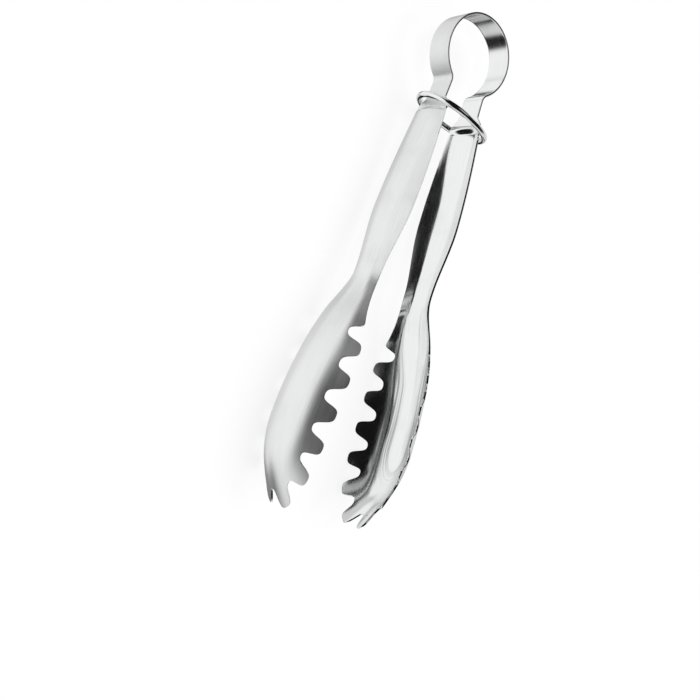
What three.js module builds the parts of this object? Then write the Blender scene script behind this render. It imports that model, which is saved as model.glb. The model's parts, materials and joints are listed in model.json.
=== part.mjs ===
// Spaghetti tongs: two pressed steel arms on a sprung band, with an oval wire ring round the shoulders.
// The tongs lie on their side: X is the opening direction, +Y points to the loop, Z is the sheet width.
import * as THREE from 'three';
import { mergeVertices } from 'three/addons/utils/BufferGeometryUtils.js';

// Driving dimensions in millimetres
const SHEET = 1.0;
const SEAM_GAP = 0.3;

// Spring band
const LOOP_RADIUS = 21.5;
const BAND_WIDTH = 15;
const NECK_FILLET = 5;
const LEG_FLARE = 6;

// Arm, from the weld under the ring down to the tip
const SEAM_DROP = 35;
const STEP_RUN = 2.9;
const STEP_ROUND = 1;
const BELLY_RUN = 57;
const WAIST_RUN = 39.5;
const CORNER_RUN = 25.5;
const FLARE_RUN = 48.5;
const JAW_RUN = 31;
const TIP_RUN = 48;
const SHOULDER_WIDTH = 23.2;
const BELLY_WIDTH = 32.4;
const WAIST_WIDTH = 22;
const JAW_WIDTH = 48;
const FALL_RUN = 44;
const JAW_DEPTH = 14.7;
const DEEPEN_LEAD = 9.5;
const DEEPEN_RUN = 72.5;
const BEND_RUN = 24;

// Depth of the handle's channel as a share of its half width
const SHOULDER_FALL = 0.205;
const HANDLE_FALL = 0.315;

// How the arms stand: half gap at the weld, lean, step out at the jaw and curl at the tip
const SEAM_HALF_GAP = 12.7;
const LEAN = 0.057;
const JAW_STEP = 2.9;
const TIP_CURL = 4.3;

// Sections from the spine (0) to the edge (1): a shallow bottom, a bend and a straight flank
const SHOULDER_SECTION = { bendStart: 0.3, bendEnd: 0.9, slope: 0.4, flat: 1 };
const HANDLE_SECTION = { bendStart: 0.2, bendEnd: 0.65, slope: 1.3, flat: 1 };
const CORNER_SECTION = { bendStart: 0.7, bendEnd: 0.86, slope: 0.42, flat: 0.25 };
const JAW_SECTION = { bendStart: 0.36, bendEnd: 0.78, slope: 0.42, flat: 0.25 };

// Teeth along the jaw edge
const TOOTH_PITCH = 17.4;
const FIRST_PITCH = 15.7;
const TIP_NOTCH_WIDTH = 17.2;
const NOTCH_DEPTH = 6;
const TIP_NOTCH_DEPTH = 9;
const TIP_NOTCH_START = 0.9;
const TOOTH_SQUARENESS = 1.8;
const TOOTH_FULLNESS = 0.1;
const SPINE_SHARE = 0.55;

// Wire ring, hanging askew and a little off centre on the shoulders
const RING_WIRE = 3.3;
const RING_DROP = 35.3;
const RING_STRAIGHT = 6.8;
const RING_CLEARANCE = 0.4;
const RING_SHIFT = 0.9;
const RING_TILT = THREE.MathUtils.degToRad(9.4);
const RING_PITCH = THREE.MathUtils.degToRad(10);

// Places along the arm, measured down from the loop's centre
const SEAM_AT = SEAM_DROP;
const ARM_AT = SEAM_AT + SEAM_GAP / 2;
const STEP_AT = ARM_AT + STEP_RUN + STEP_ROUND;
const BELLY_AT = SEAM_AT + BELLY_RUN;
const WAIST_AT = BELLY_AT + WAIST_RUN;
const CORNER_AT = WAIST_AT + CORNER_RUN;
const JAW_AT = WAIST_AT + FLARE_RUN;
const CAP_AT = JAW_AT + JAW_RUN;
const DEEPEN_AT = WAIST_AT - DEEPEN_LEAD;
const BENT_AT = DEEPEN_AT + BEND_RUN;

// Mesh fineness
const ACROSS = 10;
const HANDLE_ROW_STEP = 9;
const STEP_ROWS = 5;
const TOOTH_PHASES = [0.2, 0.36, 0.5, 0.64, 0.8, 1];
const LOOP_STEPS = 26;
const FILLET_STEPS = 6;
const LEG_STEPS = 7;
const RING_STEPS = 72;
const WIRE_SIDES = 14;
const SLOPE_STEP = 0.01;
const ARC_DIVISIONS = 800;
const MERGE_REACH = 1e-4;

const mix = THREE.MathUtils.lerp;
const smooth = THREE.MathUtils.smoothstep;

// How far into the rounded tip a place lies: 0 at its start, 1 at the end
const tipShare = (down) => Math.max(0, (down - CAP_AT) / TIP_RUN);

// Half width of the band and of the arm under it, before the rounded tip
function halfWidth(down) {
  if (down < SEAM_AT) {
    return mix(BAND_WIDTH, SHOULDER_WIDTH, smooth(down, SEAM_AT - LEG_FLARE, SEAM_AT)) / 2;
  }
  if (down < BELLY_AT) {
    const share = Math.sin(((down - SEAM_AT) / BELLY_RUN) * (Math.PI / 2));
    return mix(SHOULDER_WIDTH, BELLY_WIDTH, share) / 2;
  }
  const narrowed = mix(BELLY_WIDTH, WAIST_WIDTH, smooth(down, BELLY_AT, WAIST_AT));
  return mix(narrowed, JAW_WIDTH, smooth(down, WAIST_AT, JAW_AT)) / 2;
}

// Distance of the arm's edge from the middle plane
function edgeX(down) {
  const lean = SEAM_HALF_GAP + LEAN * (down - SEAM_AT);
  const step = JAW_STEP * smooth(down, WAIST_AT, CORNER_AT);
  return lean + step - TIP_CURL * tipShare(down) ** 2;
}

// Share of the way from the shoulder's shape to the handle's
const handleShare = (down) => smooth(down, STEP_AT, STEP_AT + FALL_RUN);

// Depth of the channel behind its edges; the step under the weld is bowed across the sheet
function depth(down, across) {
  const stepStart = ARM_AT + STEP_ROUND * across ** 2;
  const fall = mix(SHOULDER_FALL, HANDLE_FALL, handleShare(down));
  const handle = fall * halfWidth(Math.min(down, WAIST_AT)) * smooth(down, stepStart, stepStart + STEP_RUN);
  return mix(handle, JAW_DEPTH, smooth(down, DEEPEN_AT, WAIST_AT + DEEPEN_RUN));
}

// Section at a place along the arm
function sectionAt(down) {
  const section = {};
  for (const key of Object.keys(HANDLE_SECTION)) {
    const handle = mix(SHOULDER_SECTION[key], HANDLE_SECTION[key], handleShare(down));
    const jaw = mix(CORNER_SECTION[key], JAW_SECTION[key], smooth(down, BENT_AT, JAW_AT));
    section[key] = mix(handle, jaw, smooth(down, DEEPEN_AT, BENT_AT));
  }
  return section;
}

// How far a section has risen from the spine
function rise(reach, { bendStart, bendEnd, slope, flat }) {
  const t = THREE.MathUtils.clamp((reach - bendStart) / (bendEnd - bendStart), 0, 1);
  const bend = (bendEnd - bendStart) * (t ** 3 - t ** 4 / 2);
  return slope * (Math.hypot(reach, flat) - flat) + bend + Math.max(0, reach - bendEnd);
}

// Middle of the sheet, as a distance from the middle plane of the tongs
function sheetX(down, z) {
  const across = z / halfWidth(Math.min(down, CAP_AT));
  const reach = Math.min(1, Math.hypot(across, tipShare(down)));
  const section = sectionAt(down);
  const bowl = 1 - rise(reach, section) / rise(1, section);
  return edgeX(down) + depth(down, across) * bowl;
}

// A point of the sheet with its outward normal
function sheetPoint(down, z) {
  const inward = -Math.sign(z) * SLOPE_STEP;
  const onSpine = Math.abs(z) < SLOPE_STEP;
  const slopeZ = onSpine ? 0 : (sheetX(down, z + inward) - sheetX(down, z)) / inward;
  const slopeDown = (sheetX(down, z) - sheetX(down - SLOPE_STEP, z)) / SLOPE_STEP;
  return {
    point: new THREE.Vector3(sheetX(down, z), -down, z),
    normal: new THREE.Vector3(1, slopeDown, -slopeZ).normalize(),
  };
}

// A row of sheet points from the back edge over the spine to the front edge
function acrossRow(spineDown, edgeDown, edgeZ) {
  const row = [];
  for (let j = 0; j <= ACROSS; j++) {
    const side = (2 * j) / ACROSS - 1;
    const reach = Math.sin(Math.abs(side) * (Math.PI / 2));
    row.push(sheetPoint(mix(spineDown, edgeDown, reach), Math.sign(side) * edgeZ * reach));
  }
  return row;
}

// Line of the tooth tips, from the jaw's corner round to the middle of the tip
class JawEdge extends THREE.Curve {
  getPoint(t) {
    if (t < 0.5) {
      const down = mix(CORNER_AT, CAP_AT, 2 * t);
      return new THREE.Vector3(edgeX(down), -down, halfWidth(down));
    }
    const angle = (2 * t - 1) * (Math.PI / 2);
    const down = CAP_AT + TIP_RUN * Math.sin(angle);
    return new THREE.Vector3(edgeX(down), -down, (JAW_WIDTH / 2) * Math.cos(angle));
  }
}

// Lengths along the jaw edge of the corner, the teeth and the notches between them
function toothStops(length) {
  const tipTooth = length - TIP_NOTCH_WIDTH / 2;
  const teeth = [0];
  const count = Math.floor((tipTooth - FIRST_PITCH) / TOOTH_PITCH);
  for (let k = 0; k < count; k++) {
    teeth.push(FIRST_PITCH + k * TOOTH_PITCH);
  }
  teeth.push(tipTooth);
  const stops = [];
  teeth.forEach((at, k) => {
    stops.push(at);
    stops.push(k + 1 < teeth.length ? (at + teeth[k + 1]) / 2 : length);
  });
  return stops;
}

// Depth of the cut at a phase of the wave: 0 on a tooth tip, 1 in a notch
function notchShare(phase) {
  const wave = (height) => Math.tanh(TOOTH_SQUARENESS * (height + TOOTH_FULLNESS));
  return (wave(1) - wave(Math.cos(phase * Math.PI))) / (wave(1) - wave(-1));
}

// Rows of the toothed jaw, one for each place on the wave
function jawRows() {
  const edge = new JawEdge();
  edge.arcLengthDivisions = ARC_DIVISIONS;
  const length = edge.getLength();
  const stops = toothStops(length);
  const rows = [];
  for (let k = 0; k + 1 < stops.length; k++) {
    for (const phase of TOOTH_PHASES) {
      const at = edge.getPointAt(mix(stops[k], stops[k + 1], phase) / length);
      const down = -at.y;
      const spine = down - (1 - SPINE_SHARE) * Math.max(0, down - CAP_AT);
      const notch = mix(NOTCH_DEPTH, TIP_NOTCH_DEPTH, smooth(tipShare(down), TIP_NOTCH_START, 1));
      const back = (notch * notchShare(k + phase)) / Math.hypot(down - spine, at.z);
      rows.push(acrossRow(spine, mix(down, spine, back), at.z * (1 - back)));
    }
  }
  return rows;
}

// Rows of the handle, from the weld to the jaw's corner
function handleRows() {
  const rows = [];
  for (let k = 0; k < STEP_ROWS; k++) {
    const down = mix(ARM_AT, STEP_AT, k / STEP_ROWS);
    rows.push(acrossRow(down, down, halfWidth(down)));
  }
  const count = Math.ceil((CORNER_AT - STEP_AT) / HANDLE_ROW_STEP);
  for (let k = 0; k <= count; k++) {
    const down = mix(STEP_AT, CORNER_AT, k / count);
    rows.push(acrossRow(down, down, halfWidth(down)));
  }
  return rows;
}

// Closed solid of sheet metal round a grid of middle points; a folded end is joined to itself
function sheetSolid(rows, foldedEnd) {
  const last = rows.length - 1;
  const side = rows[0].length - 1;
  const positions = [];
  for (const face of [0.5, -0.5]) {
    for (const row of rows) {
      for (const { point, normal } of row) {
        positions.push(...point.clone().addScaledVector(normal, face * SHEET).toArray());
      }
    }
  }
  const out = (i, j) => i * (side + 1) + j;
  const into = (i, j) => rows.length * (side + 1) + out(i, j);
  const index = [];
  const quad = (a, b, c, d) => index.push(a, b, c, a, c, d);
  for (let i = 0; i < last; i++) {
    for (let j = 0; j < side; j++) {
      quad(out(i, j), out(i, j + 1), out(i + 1, j + 1), out(i + 1, j));
      quad(into(i, j), into(i + 1, j), into(i + 1, j + 1), into(i, j + 1));
    }
    quad(out(i, 0), out(i + 1, 0), into(i + 1, 0), into(i, 0));
    quad(out(i + 1, side), out(i, side), into(i, side), into(i + 1, side));
  }
  for (let j = 0; j < side; j++) {
    quad(out(0, j + 1), out(0, j), into(0, j), into(0, j + 1));
    if (!foldedEnd) {
      quad(out(last, j), out(last, j + 1), into(last, j + 1), into(last, j));
    }
  }
  const geometry = new THREE.BufferGeometry();
  geometry.setAttribute('position', new THREE.Float32BufferAttribute(positions, 3));
  geometry.setIndex(index);
  return mergeVertices(geometry, MERGE_REACH);
}

// The same solid on the other side of the middle plane
function mirrored(geometry) {
  const other = geometry.clone().scale(-1, 1, 1);
  const index = other.getIndex();
  for (let k = 0; k < index.count; k += 3) {
    const second = index.getX(k + 1);
    index.setX(k + 1, index.getX(k + 2));
    index.setX(k + 2, second);
  }
  return other;
}

// Right half of the band's path from the crown to the weld, as points with outward normals
function bandPath() {
  const seam = new THREE.Vector2(edgeX(SEAM_AT), -SEAM_AT);
  const up = new THREE.Vector2(-LEAN, 1).normalize();
  const out = new THREE.Vector2(up.y, -up.x);
  const start = seam.clone().addScaledVector(out, NECK_FILLET);
  const along = start.dot(up);
  const reach = LOOP_RADIUS + NECK_FILLET;
  const rise = -along - Math.sqrt(along ** 2 - start.lengthSq() + reach ** 2);
  const centre = start.clone().addScaledVector(up, rise);
  const touch = centre.angle() - 2 * Math.PI;
  const path = [];
  for (let k = 0; k < LOOP_STEPS; k++) {
    const angle = mix(Math.PI / 2, touch, k / LOOP_STEPS);
    const normal = new THREE.Vector2(Math.cos(angle), Math.sin(angle));
    path.push({ at: normal.clone().multiplyScalar(LOOP_RADIUS), normal });
  }
  for (let k = 0; k < FILLET_STEPS; k++) {
    const angle = mix(touch, out.angle() - 2 * Math.PI * (out.y < 0), k / FILLET_STEPS);
    const normal = new THREE.Vector2(Math.cos(angle), Math.sin(angle));
    path.push({ at: centre.clone().addScaledVector(normal, -NECK_FILLET), normal });
  }
  const neck = centre.clone().addScaledVector(out, -NECK_FILLET);
  const end = seam.clone().addScaledVector(up, SEAM_GAP / 2);
  for (let k = 0; k <= LEG_STEPS; k++) {
    path.push({ at: neck.clone().lerp(end, k / LEG_STEPS), normal: out });
  }
  return path;
}

// The band: left weld, over the crown, to the right weld
function bandRows() {
  const right = bandPath();
  const left = right.slice(1).reverse().map(({ at, normal }) => ({
    at: new THREE.Vector2(-at.x, at.y),
    normal: new THREE.Vector2(-normal.x, normal.y),
  }));
  return [...left, ...right].map(({ at, normal }) => {
    const half = halfWidth(-at.y);
    return [-half, half].map((z) => ({
      point: new THREE.Vector3(at.x, at.y, z),
      normal: new THREE.Vector3(normal.x, normal.y, 0),
    }));
  });
}

// Distance from the ring's end arc centre to a shoulder corner where the ring passes it
function cornerReach(sideX, sideZ) {
  const sideFall = sideX * edgeX(RING_DROP) * Math.tan(RING_TILT);
  const frontFall = sideZ * halfWidth(RING_DROP) * Math.tan(RING_PITCH);
  const down = RING_DROP + sideFall + frontFall + RING_WIRE / 2;
  const x = edgeX(down) + SHEET / 2 - sideX * RING_SHIFT - RING_STRAIGHT / 2;
  return Math.hypot(x, halfWidth(down) - sideZ * RING_SHIFT);
}

// Closed oval of the ring's wire centre, sized to clear the shoulders' corners
class RingOval extends THREE.Curve {
  constructor() {
    super();
    const right = Math.max(cornerReach(1, 1), cornerReach(1, -1));
    const left = Math.max(cornerReach(-1, 1), cornerReach(-1, -1));
    this.radius = Math.max(left, right) + RING_WIRE / 2 + RING_CLEARANCE;
    this.arc = Math.PI * this.radius;
  }
  getPoint(t) {
    const run = (t % 0.5) * 2 * (RING_STRAIGHT + this.arc);
    const turn = Math.max(0, run - RING_STRAIGHT) / this.radius;
    const x = Math.min(run, RING_STRAIGHT) - RING_STRAIGHT / 2 + this.radius * Math.sin(turn);
    const flip = t < 0.5 || t >= 1 ? 1 : -1;
    return new THREE.Vector3(flip * x, 0, flip * this.radius * Math.cos(turn));
  }
}

function ringSolid() {
  const tube = new THREE.TubeGeometry(new RingOval(), RING_STEPS, RING_WIRE / 2, WIRE_SIDES, true);
  tube.deleteAttribute('normal');
  tube.deleteAttribute('uv');
  return mergeVertices(tube, MERGE_REACH);
}

const polished = () => new THREE.MeshStandardMaterial({ color: 0xd9dbdc, roughness: 0.18, metalness: 1 });
const satin = () => new THREE.MeshStandardMaterial({ color: 0xd2d4d5, roughness: 0.26, metalness: 1 });

function piece(name, geometry, material) {
  geometry.computeVertexNormals();
  const mesh = new THREE.Mesh(geometry, material);
  mesh.name = name;
  return mesh;
}

const armSolid = sheetSolid([...handleRows(), ...jawRows()], true);
const tongs = new THREE.Group();
tongs.add(piece('spring_loop', sheetSolid(bandRows(), false), polished()));
tongs.add(piece('left_arm', mirrored(armSolid), satin()));
tongs.add(piece('right_arm', armSolid, satin()));
const ring = piece('locking_ring', ringSolid(), polished());
ring.position.set(RING_SHIFT, -RING_DROP, RING_SHIFT);
ring.rotation.set(RING_PITCH, 0, -RING_TILT);
tongs.add(ring);

// Origin in the middle of the surface that the tongs lie on
const box = new THREE.Box3().setFromObject(tongs);
const middle = box.getCenter(new THREE.Vector3());
tongs.position.set(-middle.x, -middle.y, -box.min.z);

const part = new THREE.Group();
part.add(tongs);

export default part;
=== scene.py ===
import json
import math

import bpy
import bmesh
import numpy as np
from mathutils import Matrix, Vector


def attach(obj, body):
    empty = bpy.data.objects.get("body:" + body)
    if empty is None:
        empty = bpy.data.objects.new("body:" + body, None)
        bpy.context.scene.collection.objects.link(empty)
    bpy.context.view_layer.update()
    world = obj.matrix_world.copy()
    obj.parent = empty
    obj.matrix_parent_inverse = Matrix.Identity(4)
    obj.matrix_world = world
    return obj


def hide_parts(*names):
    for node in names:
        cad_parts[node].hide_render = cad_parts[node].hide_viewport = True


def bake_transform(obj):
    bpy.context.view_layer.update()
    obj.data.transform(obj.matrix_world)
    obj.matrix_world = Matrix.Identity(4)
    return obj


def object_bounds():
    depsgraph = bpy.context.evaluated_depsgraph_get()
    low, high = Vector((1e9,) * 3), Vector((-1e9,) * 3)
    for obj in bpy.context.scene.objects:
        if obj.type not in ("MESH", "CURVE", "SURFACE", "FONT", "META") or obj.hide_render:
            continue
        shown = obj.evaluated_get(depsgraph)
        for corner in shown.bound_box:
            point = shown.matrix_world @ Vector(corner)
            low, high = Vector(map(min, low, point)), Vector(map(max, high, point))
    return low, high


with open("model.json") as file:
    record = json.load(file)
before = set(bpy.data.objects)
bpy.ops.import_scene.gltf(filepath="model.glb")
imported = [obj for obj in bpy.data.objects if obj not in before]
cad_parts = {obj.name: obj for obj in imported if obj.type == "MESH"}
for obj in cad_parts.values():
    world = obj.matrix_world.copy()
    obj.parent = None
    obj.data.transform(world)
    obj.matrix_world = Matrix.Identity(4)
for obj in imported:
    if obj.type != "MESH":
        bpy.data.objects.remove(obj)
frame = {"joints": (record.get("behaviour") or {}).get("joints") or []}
cadLow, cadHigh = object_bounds()
scene = bpy.context.scene
scene.view_settings.view_transform = "Standard"

mm = 0.001
loopCentre = Vector(frame["joints"][0]["pos_m"])  # the arms close about the middle of the loop
print("frame loaded, loop centre", [round(v, 4) for v in loopCentre])

# sizes in millimetres, measured down from the loop's centre
arm = {
    "seamAt": 35.0,
    "stepLead": 0.15,
    "stepRun": 2.9,
    "stepRound": 1.0,
    "bellyRun": 57.0,
    "waistRun": 39.5,
    "cornerRun": 25.5,
    "flareRun": 48.5,
    "jawRun": 31.0,
    "tipRun": 48.0,
    "shoulderWidth": 23.2,
    "bellyWidth": 32.4,
    "waistWidth": 22.0,
    "jawWidth": 48.0,
    "shoulderFall": 0.205,  # depth of the channel as a share of its half width
    "handleFall": 0.315,
    "fallRun": 44.0,
    "jawDepth": 14.7,
    "deepenLead": 9.5,
    "deepenRun": 72.5,
    "bendRun": 24.0,
    "seamHalfGap": 12.7,
    "lean": 0.057,
    "jawStep": 2.9,
    "tipCurl": 4.3,
    # start and end of the bend as shares of the half width, slope and flatness of the bottom
    "shoulderSection": (0.3, 0.9, 0.4, 1.0),
    "handleSection": (0.2, 0.65, 1.3, 1.0),
    "cornerSection": (0.7, 0.86, 0.42, 0.25),
    "jawSection": (0.36, 0.78, 0.42, 0.25),
    "pressAndPaintedReflectionFade": (-0.4, -0.05),  # the lines of the press and the painted reflection inside the jaw come in and go out at these shares of the bend
    "pressAndPaintedReflectionEnd": (0.6, 0.9),
    "pressAndPaintedReflectionTip": 0.5,
    "acrossCells": 56,
    "crowding": (0.4, 0.9),  # of the columns towards the cut edge, in the handle and in the jaw
    "stepCells": 20,
    "handleCells": 112,
    "waveCells": 20,  # rows in each half wave of the teeth
}
stepAt = arm["seamAt"] + arm["stepLead"] + arm["stepRun"] + arm["stepRound"]
bellyAt = arm["seamAt"] + arm["bellyRun"]
waistAt = bellyAt + arm["waistRun"]
cornerAt = waistAt + arm["cornerRun"]
jawAt = waistAt + arm["flareRun"]
capAt = jawAt + arm["jawRun"]


def mix(a, b, t):
    return a + (b - a) * t


def smooth(x, low, high):
    t = min(1.0, max(0.0, (x - low) / (high - low)))
    return t * t * (3 - 2 * t)


def tipShare(down):
    return max(0.0, (down - capAt) / arm["tipRun"])


def halfWidth(down):
    if down < arm["seamAt"]:
        flare = smooth(down, arm["seamAt"] - band["legFlare"], arm["seamAt"])
        return mix(band["width"], arm["shoulderWidth"], flare) / 2
    if down < bellyAt:
        share = math.sin((down - arm["seamAt"]) / arm["bellyRun"] * math.pi / 2)
        return mix(arm["shoulderWidth"], arm["bellyWidth"], share) / 2
    narrowed = mix(arm["bellyWidth"], arm["waistWidth"], smooth(down, bellyAt, waistAt))
    return mix(narrowed, arm["jawWidth"], smooth(down, waistAt, jawAt)) / 2


def edgeX(down):
    lean = arm["seamHalfGap"] + arm["lean"] * (down - arm["seamAt"])
    step = arm["jawStep"] * smooth(down, waistAt, cornerAt)
    return lean + step - arm["tipCurl"] * tipShare(down) ** 2


# how far the section has risen from the spine: a shallow bottom, a bend and a straight flank
def rise(reach, bendStart, bendEnd, bottom, flat):
    t = min(1.0, max(0.0, (reach - bendStart) / (bendEnd - bendStart)))
    bend = (bendEnd - bendStart) * (t ** 3 - t ** 4 / 2)
    return bottom * (math.hypot(reach, flat) - flat) + bend + max(0.0, reach - bendEnd)


def sectionAt(down):
    deepenAt = waistAt - arm["deepenLead"]
    fallen = smooth(down, stepAt, stepAt + arm["fallRun"])
    bent = smooth(down, deepenAt, deepenAt + arm["bendRun"])
    opened = smooth(down, deepenAt + arm["bendRun"], jawAt)
    section = []
    for k in range(len(arm["jawSection"])):
        handle = mix(arm["shoulderSection"][k], arm["handleSection"][k], fallen)
        corner = mix(arm["cornerSection"][k], arm["jawSection"][k], opened)
        section.append(mix(handle, corner, bent))
    return section


def sectionReach(down, z):
    return min(1.0, math.hypot(z / halfWidth(min(down, capAt)), tipShare(down)))


def sheetX(down, z):
    across = z / halfWidth(min(down, capAt))
    section = sectionAt(down)
    bowl = 1 - rise(sectionReach(down, z), *section) / rise(1, *section)
    fallen = smooth(down, stepAt, stepAt + arm["fallRun"])
    stepStart = arm["seamAt"] + arm["stepLead"] + arm["stepRound"] * across ** 2
    step = smooth(down, stepStart, stepStart + arm["stepRun"])
    depth = mix(arm["shoulderFall"], arm["handleFall"], fallen) * halfWidth(min(down, waistAt)) * step
    deeper = smooth(down, waistAt - arm["deepenLead"], waistAt + arm["deepenRun"])
    return edgeX(down) + mix(depth, arm["jawDepth"], deeper) * bowl


def place(x, down, z):
    return Vector((x, -down, z)) * mm + loopCentre


def newPiece(name, bm, material):
    mesh = bpy.data.meshes.new(name)
    bm.to_mesh(mesh)
    bm.free()
    piece = bpy.data.objects.new(name, mesh)
    scene.collection.objects.link(piece)
    mesh.shade_smooth()
    mesh.materials.append(material)
    return piece


# sheet metal: the skin gets its thickness, then its cut edges are rounded
sheet = {
    "thickness": 1.0,
    "foldReach": 0.0001,  # points nearer than this are one, as in the fold at the jaw's tip
    "sharpAngle": math.radians(50),
    "edgeRound": 0.22,
    "edgeSegments": 3,
}


def thicken(bm, facesOut, keepSquare=None):
    bmesh.ops.remove_doubles(bm, verts=bm.verts[:], dist=sheet["foldReach"] * mm)
    bmesh.ops.recalc_face_normals(bm, faces=bm.faces[:])
    for vert in bm.verts:
        vert.co += vert.normal * sheet["thickness"] * mm / 2
    inner = bm.faces.layers.float.new("inner")
    rim = bm.faces.layers.float.new("rim")
    bmesh.ops.solidify(bm, geom=bm.faces[:], thickness=sheet["thickness"] * mm)
    bmesh.ops.recalc_face_normals(bm, faces=bm.faces[:])
    cut = set()
    for edge in bm.edges:
        if len(edge.link_faces) == 2 and edge.calc_face_angle() > sheet["sharpAngle"]:
            if keepSquare is None or not all(keepSquare(vert.co) for vert in edge.verts):
                cut.add(edge)
    for face in bm.faces:
        face[rim] = 1.0 if sum(edge in cut for edge in face.edges) > 1 else 0.0
    rounded = bmesh.ops.bevel(
        bm, geom=list(cut), offset=sheet["edgeRound"] * mm, offset_type="OFFSET", affect="EDGES",
        segments=sheet["edgeSegments"], profile=0.5, material=-1, clamp_overlap=True)
    for face in rounded["faces"]:
        face[rim] = 1.0
    for face in bm.faces:
        face[inner] = 0.0 if facesOut(face) else 1.0


# teeth cut in the edge of the jaw, and the deeper notch in the middle of its tip
teeth = {
    "pitch": 17.4,
    "firstPitch": 15.7,
    "notchDepth": 6.0,
    "tipNotchWidth": 17.2,
    "tipNotchDepth": 9.0,
    "tipNotchStart": 0.9,
    "squareness": 1.8,
    "fullness": 0.1,
    "spineShare": 0.55,
    "edgeSamples": 900,
}


# line of the tooth tips with its running length, from the jaw's corner to the middle of the tip
def jawEdge():
    samples = teeth["edgeSamples"]
    points = []
    for k in range(samples + 1):
        down = mix(cornerAt, capAt, k / samples)
        points.append((edgeX(down), down, halfWidth(down)))
    for k in range(1, samples + 1):
        angle = k / samples * math.pi / 2
        down = capAt + arm["tipRun"] * math.sin(angle)
        points.append((edgeX(down), down, arm["jawWidth"] / 2 * math.cos(angle)))
    points = np.array(points)
    steps = np.linalg.norm(np.diff(points, axis=0), axis=1)
    return points, np.concatenate([[0], np.cumsum(steps)])


def notchShare(phase):
    def wave(height):
        return math.tanh(teeth["squareness"] * (height + teeth["fullness"]))
    return (wave(1) - wave(math.cos(phase * math.pi))) / (wave(1) - wave(-1))


# each row of the sheet: where it crosses the spine, and its end on the cut edge
def armRows():
    rows = []
    stretches = ((arm["seamAt"], stepAt, arm["stepCells"]), (stepAt, cornerAt, arm["handleCells"]))
    for start, end, cells in stretches:
        for k in range(cells):
            down = mix(start, end, k / cells)
            rows.append((down, down, halfWidth(down)))
    points, run = jawEdge()
    tipTooth = run[-1] - teeth["tipNotchWidth"] / 2
    count = int((tipTooth - teeth["firstPitch"]) // teeth["pitch"])
    tips = [0] + [teeth["firstPitch"] + k * teeth["pitch"] for k in range(count)] + [tipTooth]
    stops = []
    for k, at in enumerate(tips):
        stops.append(at)
        stops.append((at + tips[k + 1]) / 2 if k + 1 < len(tips) else run[-1])
    cells = arm["waveCells"]
    for k in range((len(stops) - 1) * cells + 1):
        phase = k / cells
        at = np.interp(phase, range(len(stops)), stops)
        down = float(np.interp(at, run, points[:, 1]))
        z = float(np.interp(at, run, points[:, 2]))
        spine = down - (1 - teeth["spineShare"]) * max(0.0, down - capAt)
        nearTip = smooth(tipShare(down), teeth["tipNotchStart"], 1)
        deep = mix(teeth["notchDepth"], teeth["tipNotchDepth"], nearTip)
        back = deep * notchShare(phase) / math.hypot(down - spine, z)
        rows.append((spine, mix(down, spine, back), z * (1 - back)))
    return rows


def makeArm(name, side, material):
    rows = armRows()
    bm = bmesh.new()
    grain = bm.loops.layers.uv.new("grain")
    edgeShare = bm.verts.layers.float.new("edgeShare")
    bendShare = bm.verts.layers.float.new("bendShare")
    pressedAndPaintedReflection = bm.verts.layers.float.new("pressedAndPaintedReflection")
    bmesh.ops.create_grid(bm, x_segments=arm["acrossCells"], y_segments=len(rows) - 1, size=1)
    flat = {}
    for vert in bm.verts:
        across = vert.co.x
        spine, edge, edgeZ = rows[round((vert.co.y + 1) / 2 * (len(rows) - 1))]
        crowding = mix(*arm["crowding"], smooth(edge, waistAt, jawAt))
        reach = mix(abs(across), math.sin(abs(across) * math.pi / 2), crowding)
        vert[edgeShare] = reach
        down = mix(spine, edge, reach)
        z = math.copysign(edgeZ * reach, across)
        flat[vert] = (z * mm, down * mm)
        bendStart, bendEnd = sectionAt(down)[:2]
        share = (sectionReach(down, z) - bendStart) / (bendEnd - bendStart)
        vert[bendShare] = share
        beside = smooth(share, *arm["pressAndPaintedReflectionFade"]) * (1 - smooth(share, *arm["pressAndPaintedReflectionEnd"]))
        inJaw = smooth(down, waistAt, cornerAt) * (1 - smooth(tipShare(down), 0, arm["pressAndPaintedReflectionTip"]))
        # mask of the band inside the jaw that takes the press lines and the painted reflection, a darker
        # colour standing for reflected shade
        vert[pressedAndPaintedReflection] = beside * inJaw
        vert.co = place(side * sheetX(down, z), down, z)
    for face in bm.faces:
        for corner in face.loops:
            corner[grain].uv = flat[corner.vert]
    thicken(bm, lambda face: face.normal.x * side > 0)
    for vert in bm.verts:
        vert.co.y = max(vert.co.y, cadLow[1])  # the last teeth end where the solid sheet ends
    return newPiece(name, bm, material)


band = {
    "radius": 21.5,
    "width": 15.0,
    "neckFillet": 5.0,
    "legFlare": 6.0,
    "loopCells": 150,
    "filletCells": 24,
    "legCells": 16,
    "acrossCells": 16,
    "crownReach": 0.05,  # points this near the middle plane belong to the crown
}


# half of the band, from the crown round the loop and the neck to the weld
def bandPath():
    seam = Vector((edgeX(arm["seamAt"]), -arm["seamAt"]))
    up = Vector((-arm["lean"], 1)).normalized()
    out = Vector((up.y, -up.x))
    start = seam + out * band["neckFillet"]
    along = start.dot(up)
    reach = band["radius"] + band["neckFillet"]
    centre = start + up * (-along - math.sqrt(along ** 2 - start.length_squared + reach ** 2))
    touch = math.atan2(centre.y, centre.x)
    path = []
    for k in range(band["loopCells"]):
        angle = mix(math.pi / 2, touch, k / band["loopCells"])
        path.append(Vector((math.cos(angle), math.sin(angle))) * band["radius"])
    last = math.atan2(out.y, out.x)
    for k in range(band["filletCells"]):
        angle = mix(touch, last, k / band["filletCells"])
        path.append(centre - Vector((math.cos(angle), math.sin(angle))) * band["neckFillet"])
    neck = centre - out * band["neckFillet"]
    for k in range(band["legCells"] + 1):
        path.append(neck.lerp(seam, k / band["legCells"]))
    return path


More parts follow.
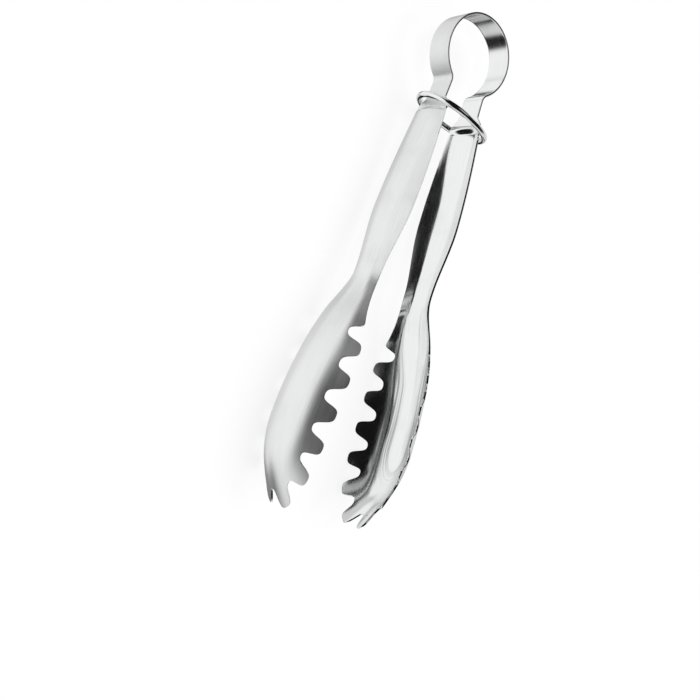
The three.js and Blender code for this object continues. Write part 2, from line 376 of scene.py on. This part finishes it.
def makeBand(name, side, material):
    path = bandPath()
    run = [0.0]
    for k in range(1, len(path)):
        run.append(run[-1] + (path[k] - path[k - 1]).length)
    bm = bmesh.new()
    grain = bm.loops.layers.uv.new("grain")
    station = bm.verts.layers.float.new("station")
    edgeShare = bm.verts.layers.float.new("edgeShare")
    bmesh.ops.create_grid(bm, x_segments=band["acrossCells"], y_segments=len(path) - 1, size=1)

    def outward(face):
        k = round(sum(vert[station] for vert in face.verts) / len(face.verts))
        way = path[min(k + 1, len(path) - 1)] - path[max(k - 1, 0)]
        return face.normal.dot(Vector((-way.y * side, way.x, 0))) > 0

    def atCrown(co):
        return abs(co.x) < band["crownReach"] * mm

    flat = {}
    for vert in bm.verts:
        k = round((vert.co.y + 1) / 2 * (len(path) - 1))
        vert[station] = k
        vert[edgeShare] = abs(vert.co.x)
        z = vert.co.x * halfWidth(-path[k].y)
        flat[vert] = (z * mm, run[k] * mm)
        vert.co = place(side * path[k].x, -path[k].y, z)
    for face in bm.faces:
        for corner in face.loops:
            corner[grain].uv = flat[corner.vert]
    thicken(bm, outward, keepSquare=atCrown)
    for vert in bm.verts:
        if atCrown(vert.co):
            vert.co.x = 0
    half = newPiece(name, bm, material)
    # the halves share their normals at the crown, so that no line shows between them
    normals = []
    for vert in half.data.vertices:
        normal = vert.normal.copy()
        if vert.co.x == 0:
            normal.x = 0
            normal.normalize()
        normals.append(normal)
    half.data.normals_split_custom_set_from_vertices(normals)
    return half


# closed oval of wire: a half turn, a straight run, a half turn and a straight run
ring = {
    "wire": 3.3,
    "drop": 35.3,
    "straight": 6.8,
    "clearance": 0.4,
    "shift": 0.9,
    "tilt": math.radians(9.4),
    "pitch": math.radians(10),
    "turnSteps": 72,
    "wireSides": 28,
    "straightCells": 8,
    "joinReach": 0.001,
}


# how far from the wire's centres a corner of the shoulders reaches
def cornerReach(sideX, sideZ):
    sideFall = sideX * edgeX(ring["drop"]) * math.tan(ring["tilt"])
    frontFall = sideZ * halfWidth(ring["drop"]) * math.tan(ring["pitch"])
    down = ring["drop"] + sideFall + frontFall + ring["wire"] / 2
    x = edgeX(down) + sheet["thickness"] / 2 - sideX * ring["shift"] - ring["straight"] / 2
    return math.hypot(x, halfWidth(down) - sideZ * ring["shift"])


# place on the wire: round it and along it
def wirePlace(co, half, radius):
    if co.x > half:
        turn = math.atan2(co.x - half, co.z)
        off = math.hypot(co.x - half, co.z) - radius
        along = half + radius * turn
    elif co.x < -half:
        turn = math.atan2(-co.x - half, -co.z)
        off = math.hypot(co.x + half, co.z) - radius
        along = 3 * half + radius * (math.pi + turn)
    else:
        off = abs(co.z) - radius
        along = co.x if co.z > 0 else 2 * half + math.pi * radius - co.x
    return math.atan2(co.y, off) * ring["wire"] / 2, along


def makeRing(name, material):
    shoulders = max(cornerReach(x, z) for x in (1, -1) for z in (1, -1))
    radius = shoulders + ring["wire"] / 2 + ring["clearance"]
    half = ring["straight"] / 2
    middle = (0, 0, 0)
    bm = bmesh.new()
    bmesh.ops.create_circle(bm, cap_ends=False, radius=ring["wire"] / 2, segments=ring["wireSides"])
    bmesh.ops.rotate(bm, verts=bm.verts[:], cent=middle, matrix=Matrix.Rotation(math.pi / 2, 3, "Y"))
    bmesh.ops.translate(bm, verts=bm.verts[:], vec=(half, 0, radius))
    geom = bm.edges[:] + bm.verts[:]
    for x, way in ((half, 1), (-half, -1)):
        turned = bmesh.ops.spin(
            bm, geom=geom, cent=(x, 0, 0), axis=(0, 1, 0), angle=math.pi,
            steps=ring["turnSteps"], use_merge=False)["geom_last"]
        edges = [item for item in turned if isinstance(item, bmesh.types.BMEdge)]
        pull = (-way * ring["straight"] / ring["straightCells"], 0, 0)
        for k in range(ring["straightCells"]):
            pulled = bmesh.ops.extrude_edge_only(bm, edges=edges)["geom"]
            verts = [item for item in pulled if isinstance(item, bmesh.types.BMVert)]
            edges = [item for item in pulled if isinstance(item, bmesh.types.BMEdge)]
            bmesh.ops.translate(bm, verts=verts, vec=pull)
        geom = edges + verts
    bmesh.ops.remove_doubles(bm, verts=bm.verts[:], dist=ring["joinReach"])
    bmesh.ops.recalc_face_normals(bm, faces=bm.faces[:])
    grain = bm.loops.layers.uv.new("grain")
    turns = (math.pi * ring["wire"], 2 * math.pi * radius + 4 * half)
    for face in bm.faces:
        first = wirePlace(face.verts[0].co, half, radius)
        for corner in face.loops:
            here = wirePlace(corner.vert.co, half, radius)
            # whole turns are taken out, so that no face spans the map
            uv = [b + (a - b + t / 2) % t - t / 2 for a, b, t in zip(here, first, turns)]
            corner[grain].uv = (uv[0] * mm, uv[1] * mm)
    bmesh.ops.rotate(bm, verts=bm.verts[:], cent=middle, matrix=Matrix.Rotation(-ring["tilt"], 3, "Z"))
    bmesh.ops.rotate(bm, verts=bm.verts[:], cent=middle, matrix=Matrix.Rotation(ring["pitch"], 3, "X"))
    bmesh.ops.scale(bm, verts=bm.verts[:], vec=(mm, mm, mm))
    bmesh.ops.translate(bm, verts=bm.verts[:], vec=place(ring["shift"], ring["drop"], ring["shift"]))
    return newPiece(name, bm, material)


# marks in the steel: size in metres across and along, and the part of the noise that shows
marks = {
    "Grain": {
        "place": "Sheet Place", "size": (0.0005, 0.022, 1), "turn": 0,
        "detail": 4, "low": 0.3, "high": 0.7,
    },
    "Scratches": {
        "place": "Sheet Place", "size": (0.00035, 0.009, 1), "turn": 0.5,
        "detail": 1, "low": 0.66, "high": 0.74,
    },
    "Hand Marks": {
        "place": "Piece Place", "size": (0.021, 0.021, 0.021), "turn": 0,
        "detail": 3, "low": 0.47, "high": 0.72,
    },
    # these streaks are the press's lines in roughness and dents, and painted reflection in the colour
    # inside the jaw
    "Press Lines And Painted Reflection": {  # across is a share of the bend
        "place": "Bend Place", "size": (0.13, 0.08, 1), "turn": 0,
        "detail": 1, "low": 0.4, "high": 0.6,
    },
}


def markGroup():
    group = bpy.data.node_groups.new("steelMarks", "ShaderNodeTree")
    for name in ("Sheet Place", "Piece Place", "Bend Place"):
        group.interface.new_socket(name, in_out="INPUT", socket_type="NodeSocketVector")
    for name in marks:
        group.interface.new_socket(name, in_out="OUTPUT", socket_type="NodeSocketFloat")
    nodes = group.nodes
    links = group.links
    places = nodes.new("NodeGroupInput")
    results = nodes.new("NodeGroupOutput")
    for name, mark in marks.items():
        mapping = nodes.new("ShaderNodeMapping")
        mapping.vector_type = "TEXTURE"
        mapping.inputs["Scale"].default_value = mark["size"]
        mapping.inputs["Rotation"].default_value = (0, 0, mark["turn"])
        cloud = nodes.new("ShaderNodeTexNoise")
        cloud.inputs["Scale"].default_value = 1
        cloud.inputs["Detail"].default_value = mark["detail"]
        level = nodes.new("ShaderNodeMapRange")
        level.interpolation_type = "SMOOTHSTEP"
        level.inputs["From Min"].default_value = mark["low"]
        level.inputs["From Max"].default_value = mark["high"]
        links.new(places.outputs[mark["place"]], mapping.inputs["Vector"])
        links.new(mapping.outputs["Vector"], cloud.inputs["Vector"])
        links.new(cloud.outputs["Fac"], level.inputs["Value"])
        links.new(level.outputs["Result"], results.inputs[name])
    return group


def combined(tree, operation, first, second):
    node = tree.nodes.new("ShaderNodeMath")
    node.operation = operation
    tree.links.new(first, node.inputs[0])
    tree.links.new(second, node.inputs[1])
    return node.outputs["Value"]


steelMarks = markGroup()


def steel(name, look):
    material = bpy.data.materials.new(name)
    material.use_nodes = True
    tree = material.node_tree
    nodes = tree.nodes
    links = tree.links
    shader = nodes["Principled BSDF"]
    shader.inputs["Metallic"].default_value = 1
    sheetMap = nodes.new("ShaderNodeUVMap")
    sheetMap.uv_map = "grain"
    piece = nodes.new("ShaderNodeTexCoord")
    worn = nodes.new("ShaderNodeGroup")
    worn.node_tree = steelMarks
    links.new(sheetMap.outputs["UV"], worn.inputs["Sheet Place"])
    links.new(piece.outputs["Object"], worn.inputs["Piece Place"])

    def attribute(label):
        node = nodes.new("ShaderNodeAttribute")
        node.attribute_name = label
        return node.outputs["Fac"]

    def spread(value, toMin, toMax, fromMin=0):
        node = nodes.new("ShaderNodeMapRange")
        node.inputs["From Min"].default_value = fromMin
        node.inputs["To Min"].default_value = toMin
        node.inputs["To Max"].default_value = toMax
        links.new(value, node.inputs["Value"])
        return node.outputs["Result"]

    def added(value, share, base):
        node = nodes.new("ShaderNodeMath")
        node.operation = "MULTIPLY_ADD"
        links.new(value, node.inputs[0])
        node.inputs[1].default_value = share
        links.new(base, node.inputs[2])
        return node.outputs["Value"]

    # the press draws lines inside the jaw, along its bend, in roughness and dents; the steel there is
    # also coloured darker in streaks, a painted reflection
    apart = nodes.new("ShaderNodeSeparateXYZ")
    bend = nodes.new("ShaderNodeCombineXYZ")
    links.new(sheetMap.outputs["UV"], apart.inputs["Vector"])
    links.new(attribute("bendShare"), bend.inputs["X"])
    links.new(apart.outputs["Y"], bend.inputs["Y"])
    links.new(bend.outputs["Vector"], worn.inputs["Bend Place"])
    inside = combined(tree, "MULTIPLY", attribute("pressedAndPaintedReflection"), attribute("inner"))
    pressLinesAndPaintedReflection = combined(tree, "MULTIPLY", spread(worn.outputs["Press Lines And Painted Reflection"], look["pressAndPaintedReflectionLevel"], 1), inside)

    # cut edges and the strip beside them are rubbed smooth
    strip = spread(attribute("edgeShare"), 0, look["rubbedStrip"], fromMin=look["rubbedFrom"])
    rubbed = combined(tree, "MAXIMUM", attribute("rim"), strip)

    # satin outside and brighter inside, uneven along the grain and where it is held
    rough = spread(attribute("inner"), look["satin"], look["bright"])
    rough = added(spread(worn.outputs["Grain"], -1, 1), look["grainRough"], rough)
    rough = added(worn.outputs["Hand Marks"], look["handRough"], rough)
    rough = added(pressLinesAndPaintedReflection, look["pressRough"], rough)
    rough = added(rubbed, -look["rubbedSmooth"], rough)
    links.new(rough, shader.inputs["Roughness"])

    tone = nodes.new("ShaderNodeMix")
    tone.data_type = "RGBA"
    tone.inputs["A"].default_value = (*look["colour"], 1)
    tone.inputs["B"].default_value = (*look["dull"], 1)
    dulled = spread(worn.outputs["Grain"], 0, look["grainTone"])
    dulled = added(worn.outputs["Hand Marks"], look["handTone"], dulled)
    links.new(dulled, tone.inputs["Factor"])
    shade = nodes.new("ShaderNodeMix")
    shade.data_type = "RGBA"
    # painted reflection: the inside of the jaw beside its bend is coloured darker grey in streaks
    shade.inputs["B"].default_value = (*look["pressPaintedReflectionColour"], 1)
    links.new(tone.outputs["Result"], shade.inputs["A"])
    links.new(pressLinesAndPaintedReflection, shade.inputs["Factor"])
    links.new(shade.outputs["Result"], shader.inputs["Base Color"])

    bump = nodes.new("ShaderNodeBump")
    bump.inputs["Strength"].default_value = look["relief"]
    bump.inputs["Distance"].default_value = look["reliefDepth"]
    height = added(worn.outputs["Scratches"], -look["scratchDepth"], worn.outputs["Grain"])
    height = added(pressLinesAndPaintedReflection, -look["pressDepth"], height)
    links.new(height, bump.inputs["Height"])
    links.new(bump.outputs["Normal"], shader.inputs["Normal"])
    return material


steelLooks = {
    "colour": (0.9, 0.905, 0.905),
    "dull": (0.8, 0.805, 0.81),
    "grainRough": 0.03,
    "grainTone": 0.35,
    "handRough": 0.04,
    "handTone": 0.4,
    "rubbedFrom": 0.93,
    "rubbedStrip": 0.7,
    "rubbedSmooth": 0.05,
    "relief": 0.25,
    "reliefDepth": 0.000012,
    "scratchDepth": 0.5,  # in depths of the grain
    "pressRough": 0.12,
    "pressAndPaintedReflectionLevel": 0.25,
    # darker grey painted into the jaw as a reflection
    "pressPaintedReflectionColour": (0.42, 0.425, 0.43),
    "pressDepth": 3.0,
}
armSteel = steel("satinArmSteel", {**steelLooks, "satin": 0.36, "bright": 0.1})
bandSteel = steel("polishedBandSteel", {**steelLooks, "satin": 0.5, "bright": 0.16})
wireSteel = steel("polishedWireSteel", {**steelLooks, "satin": 0.09, "bright": 0.09, "relief": 0.12})
print("steel finished for arms, band and wire")

leftArm = makeArm("left_scoop_arm", -1, armSteel)
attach(leftArm, "left_arm")
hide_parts("left_arm")
rightArm = makeArm("right_scoop_arm", 1, armSteel)
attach(rightArm, "right_arm")
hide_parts("right_arm")
print("arms pressed", len(leftArm.data.polygons), "faces each")

for name, side, body in (("left_band", -1, "left_arm"), ("right_band", 1, "right_arm")):
    half = makeBand(name, side, bandSteel)
    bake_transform(half)
    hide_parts("spring_loop")
    print(name, "bent", len(half.data.polygons), "faces")

wireRing = makeRing("oval_ring", wireSteel)
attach(wireRing, "locking_ring")
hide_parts("locking_ring")
print("ring closed", len(wireRing.data.polygons), "faces")

# view of the photograph: axes and place found by matching the outlines
view = {
    "right": (0.7493, 0.32031, 0.57961),
    "up": (-0.30671, 0.94357, -0.12494),
    "ahead": (0.58692, 0.08416, -0.80526),
    "place": (-0.31462, -0.21943, 0.41439),  # from the loop's centre
    "imageSize": 700,
    "focus": 1000,  # in pixels, as is the shift
    "shift": (2.72, 9.29),
    "sensor": 36,
    "nearest": 0.01,
}
viewRight, viewUp, viewAhead = (Vector(view[key]) for key in ("right", "up", "ahead"))
cameraData = bpy.data.cameras.new("photoView")
cameraData.sensor_width = view["sensor"]
cameraData.lens = view["sensor"] * view["focus"] / view["imageSize"]
cameraData.shift_x, cameraData.shift_y = (pixels / view["imageSize"] for pixels in view["shift"])
cameraData.clip_start = view["nearest"]
camera = bpy.data.objects.new("photoView", cameraData)
scene.collection.objects.link(camera)
turn = Matrix((viewRight, viewUp, -viewAhead)).transposed().to_4x4()
camera.matrix_world = Matrix.Translation(loopCentre + Vector(view["place"])) @ turn
scene.camera = camera
print("camera set, lens", round(cameraData.lens, 2))

# floor under the tongs as they lie on their side
floorLook = {
    "size": 4.0,
    "paint": 0.92,
    "lift": 0.82,  # how far the camera's view of it is raised to white
}
bm = bmesh.new()
bmesh.ops.create_grid(bm, x_segments=1, y_segments=1, size=floorLook["size"])
mesh = bpy.data.meshes.new("floor")
bm.to_mesh(mesh)
bm.free()
floor = bpy.data.objects.new("floor", mesh)
scene.collection.objects.link(floor)
floor.visible_glossy = False  # the steel mirrors the studio around it
floorPaint = bpy.data.materials.new("floorPaint")
floorPaint.use_nodes = True
nodes = floorPaint.node_tree.nodes
links = floorPaint.node_tree.links
nodes.clear()
paint = nodes.new("ShaderNodeBsdfDiffuse")
paint.inputs["Color"].default_value = (floorLook["paint"],) * 3 + (1,)
white = nodes.new("ShaderNodeEmission")
white.inputs["Strength"].default_value = 1
lightPath = nodes.new("ShaderNodeLightPath")
lift = nodes.new("ShaderNodeMath")
lift.operation = "MULTIPLY"
lift.inputs[1].default_value = floorLook["lift"]
blend = nodes.new("ShaderNodeMixShader")
surface = nodes.new("ShaderNodeOutputMaterial")
links.new(lightPath.outputs["Is Camera Ray"], lift.inputs[0])
links.new(lift.outputs["Value"], blend.inputs["Fac"])
links.new(paint.outputs["BSDF"], blend.inputs[1])
links.new(white.outputs["Emission"], blend.inputs[2])
links.new(blend.outputs["Shader"], surface.inputs["Surface"])
mesh.materials.append(floorPaint)
print("floor laid")

# soft light from overhead, kept out of the steel's reflections
lamp = {
    "strength": 3.1,
    "spread": math.radians(70),
    "lean": (math.radians(-6), math.radians(4), 0),
}
sunData = bpy.data.lights.new("overheadSoftLight", "SUN")
sunData.energy = lamp["strength"]
sunData.angle = lamp["spread"]
sun = bpy.data.objects.new("overheadSoftLight", sunData)
sun.rotation_euler = lamp["lean"]
sun.visible_glossy = False
scene.collection.objects.link(sun)

# white walls and boxes of the studio, each a cone of light with a soft edge,
# in degrees round and up from straight behind the tongs
studio = {
    "leftWall": {"round": -110, "up": 17, "inner": 39, "outer": 48, "light": 0.97},
    "leftFoot": {"round": -115, "up": -20, "inner": 17, "outer": 36, "light": 0.92},
    "topBox": {"round": -115, "up": 80, "inner": 25, "outer": 33, "light": 0.66},
    "backWall": {"round": -68, "up": 24, "inner": 8, "outer": 43, "light": 0.97},
    "backPanel": {"round": -25, "up": 12, "inner": 8, "outer": 27, "light": 0.75},
    "highPanel": {"round": -35, "up": 58, "inner": 14, "outer": 29, "light": 0.95},
    "lowPanel": {"round": -54, "up": -4, "inner": 10, "outer": 17, "light": 0.9},
    "backdrop": {"round": 14, "up": 18, "inner": 14, "outer": 22, "light": 0.7},
    "footPanel": {"round": 10, "up": -16, "inner": 9, "outer": 12, "light": 0.5},
    "footStrip": {"round": -1, "up": -26, "inner": 6, "outer": 9, "light": 0.5},
    "sideWall": {"round": 45, "up": 12, "inner": 32, "outer": 43, "light": 0.8},
    "rightWall": {"round": 81, "up": -14, "inner": 13, "outer": 24, "light": 0.1},
    "frontPanel": {"round": 128, "up": 4, "inner": 12, "outer": 24, "light": 0.4},
    "lowWall": {"round": 42, "up": -38, "inner": 15, "outer": 28, "light": 0.7},
    "table": {"round": -45, "up": -70, "inner": 35, "outer": 40, "light": 0.74},
}
gloom = 0.007  # light between the boxes


def boxGroup():
    group = bpy.data.node_groups.new("softBox", "ShaderNodeTree")
    for name in ("Direction", "Axis"):
        group.interface.new_socket(name, in_out="INPUT", socket_type="NodeSocketVector")
    for name in ("Inner", "Outer", "Light"):
        group.interface.new_socket(name, in_out="INPUT", socket_type="NodeSocketFloat")
    group.interface.new_socket("Glow", in_out="OUTPUT", socket_type="NodeSocketFloat")
    enter = group.nodes.new("NodeGroupInput")
    leave = group.nodes.new("NodeGroupOutput")
    facing = group.nodes.new("ShaderNodeVectorMath")
    facing.operation = "DOT_PRODUCT"
    edge = group.nodes.new("ShaderNodeMapRange")
    edge.interpolation_type = "SMOOTHSTEP"
    group.links.new(enter.outputs["Direction"], facing.inputs[0])
    group.links.new(enter.outputs["Axis"], facing.inputs[1])
    group.links.new(facing.outputs["Value"], edge.inputs["Value"])
    group.links.new(enter.outputs["Outer"], edge.inputs["From Min"])
    group.links.new(enter.outputs["Inner"], edge.inputs["From Max"])
    group.links.new(enter.outputs["Light"], edge.inputs["To Max"])
    group.links.new(edge.outputs["Result"], leave.inputs["Glow"])
    return group


softBox = boxGroup()
world = bpy.data.worlds.new("studio")
scene.world = world
world.use_nodes = True
worldTree = world.node_tree
around = worldTree.nodes.new("ShaderNodeTexCoord")
seen = worldTree.nodes.new("ShaderNodeLightPath")


def addBox(box):
    turned = math.radians(box["round"])
    raised = math.radians(box["up"])
    level = viewRight * math.sin(turned) + viewAhead * math.cos(turned)
    axis = level * math.cos(raised) + viewUp * math.sin(raised)
    node = worldTree.nodes.new("ShaderNodeGroup")
    node.node_tree = softBox
    node.inputs["Axis"].default_value = axis.normalized()
    node.inputs["Inner"].default_value = math.cos(math.radians(box["inner"]))
    node.inputs["Outer"].default_value = math.cos(math.radians(box["outer"]))
    node.inputs["Light"].default_value = box["light"]
    worldTree.links.new(around.outputs["Generated"], node.inputs["Direction"])
    return node.outputs["Glow"]


dimmest = worldTree.nodes.new("ShaderNodeMath")
dimmest.operation = "MAXIMUM"
dimmest.inputs[1].default_value = gloom
worldTree.links.new(seen.outputs["Is Camera Ray"], dimmest.inputs[0])  # the camera sees plain white
glow = dimmest.outputs["Value"]
for box in studio.values():
    glow = combined(worldTree, "MAXIMUM", glow, addBox(box))
background = worldTree.nodes["Background"]
background.inputs["Strength"].default_value = 1
worldTree.links.new(glow, background.inputs["Color"])
print("studio lit by", len(studio), "boxes")
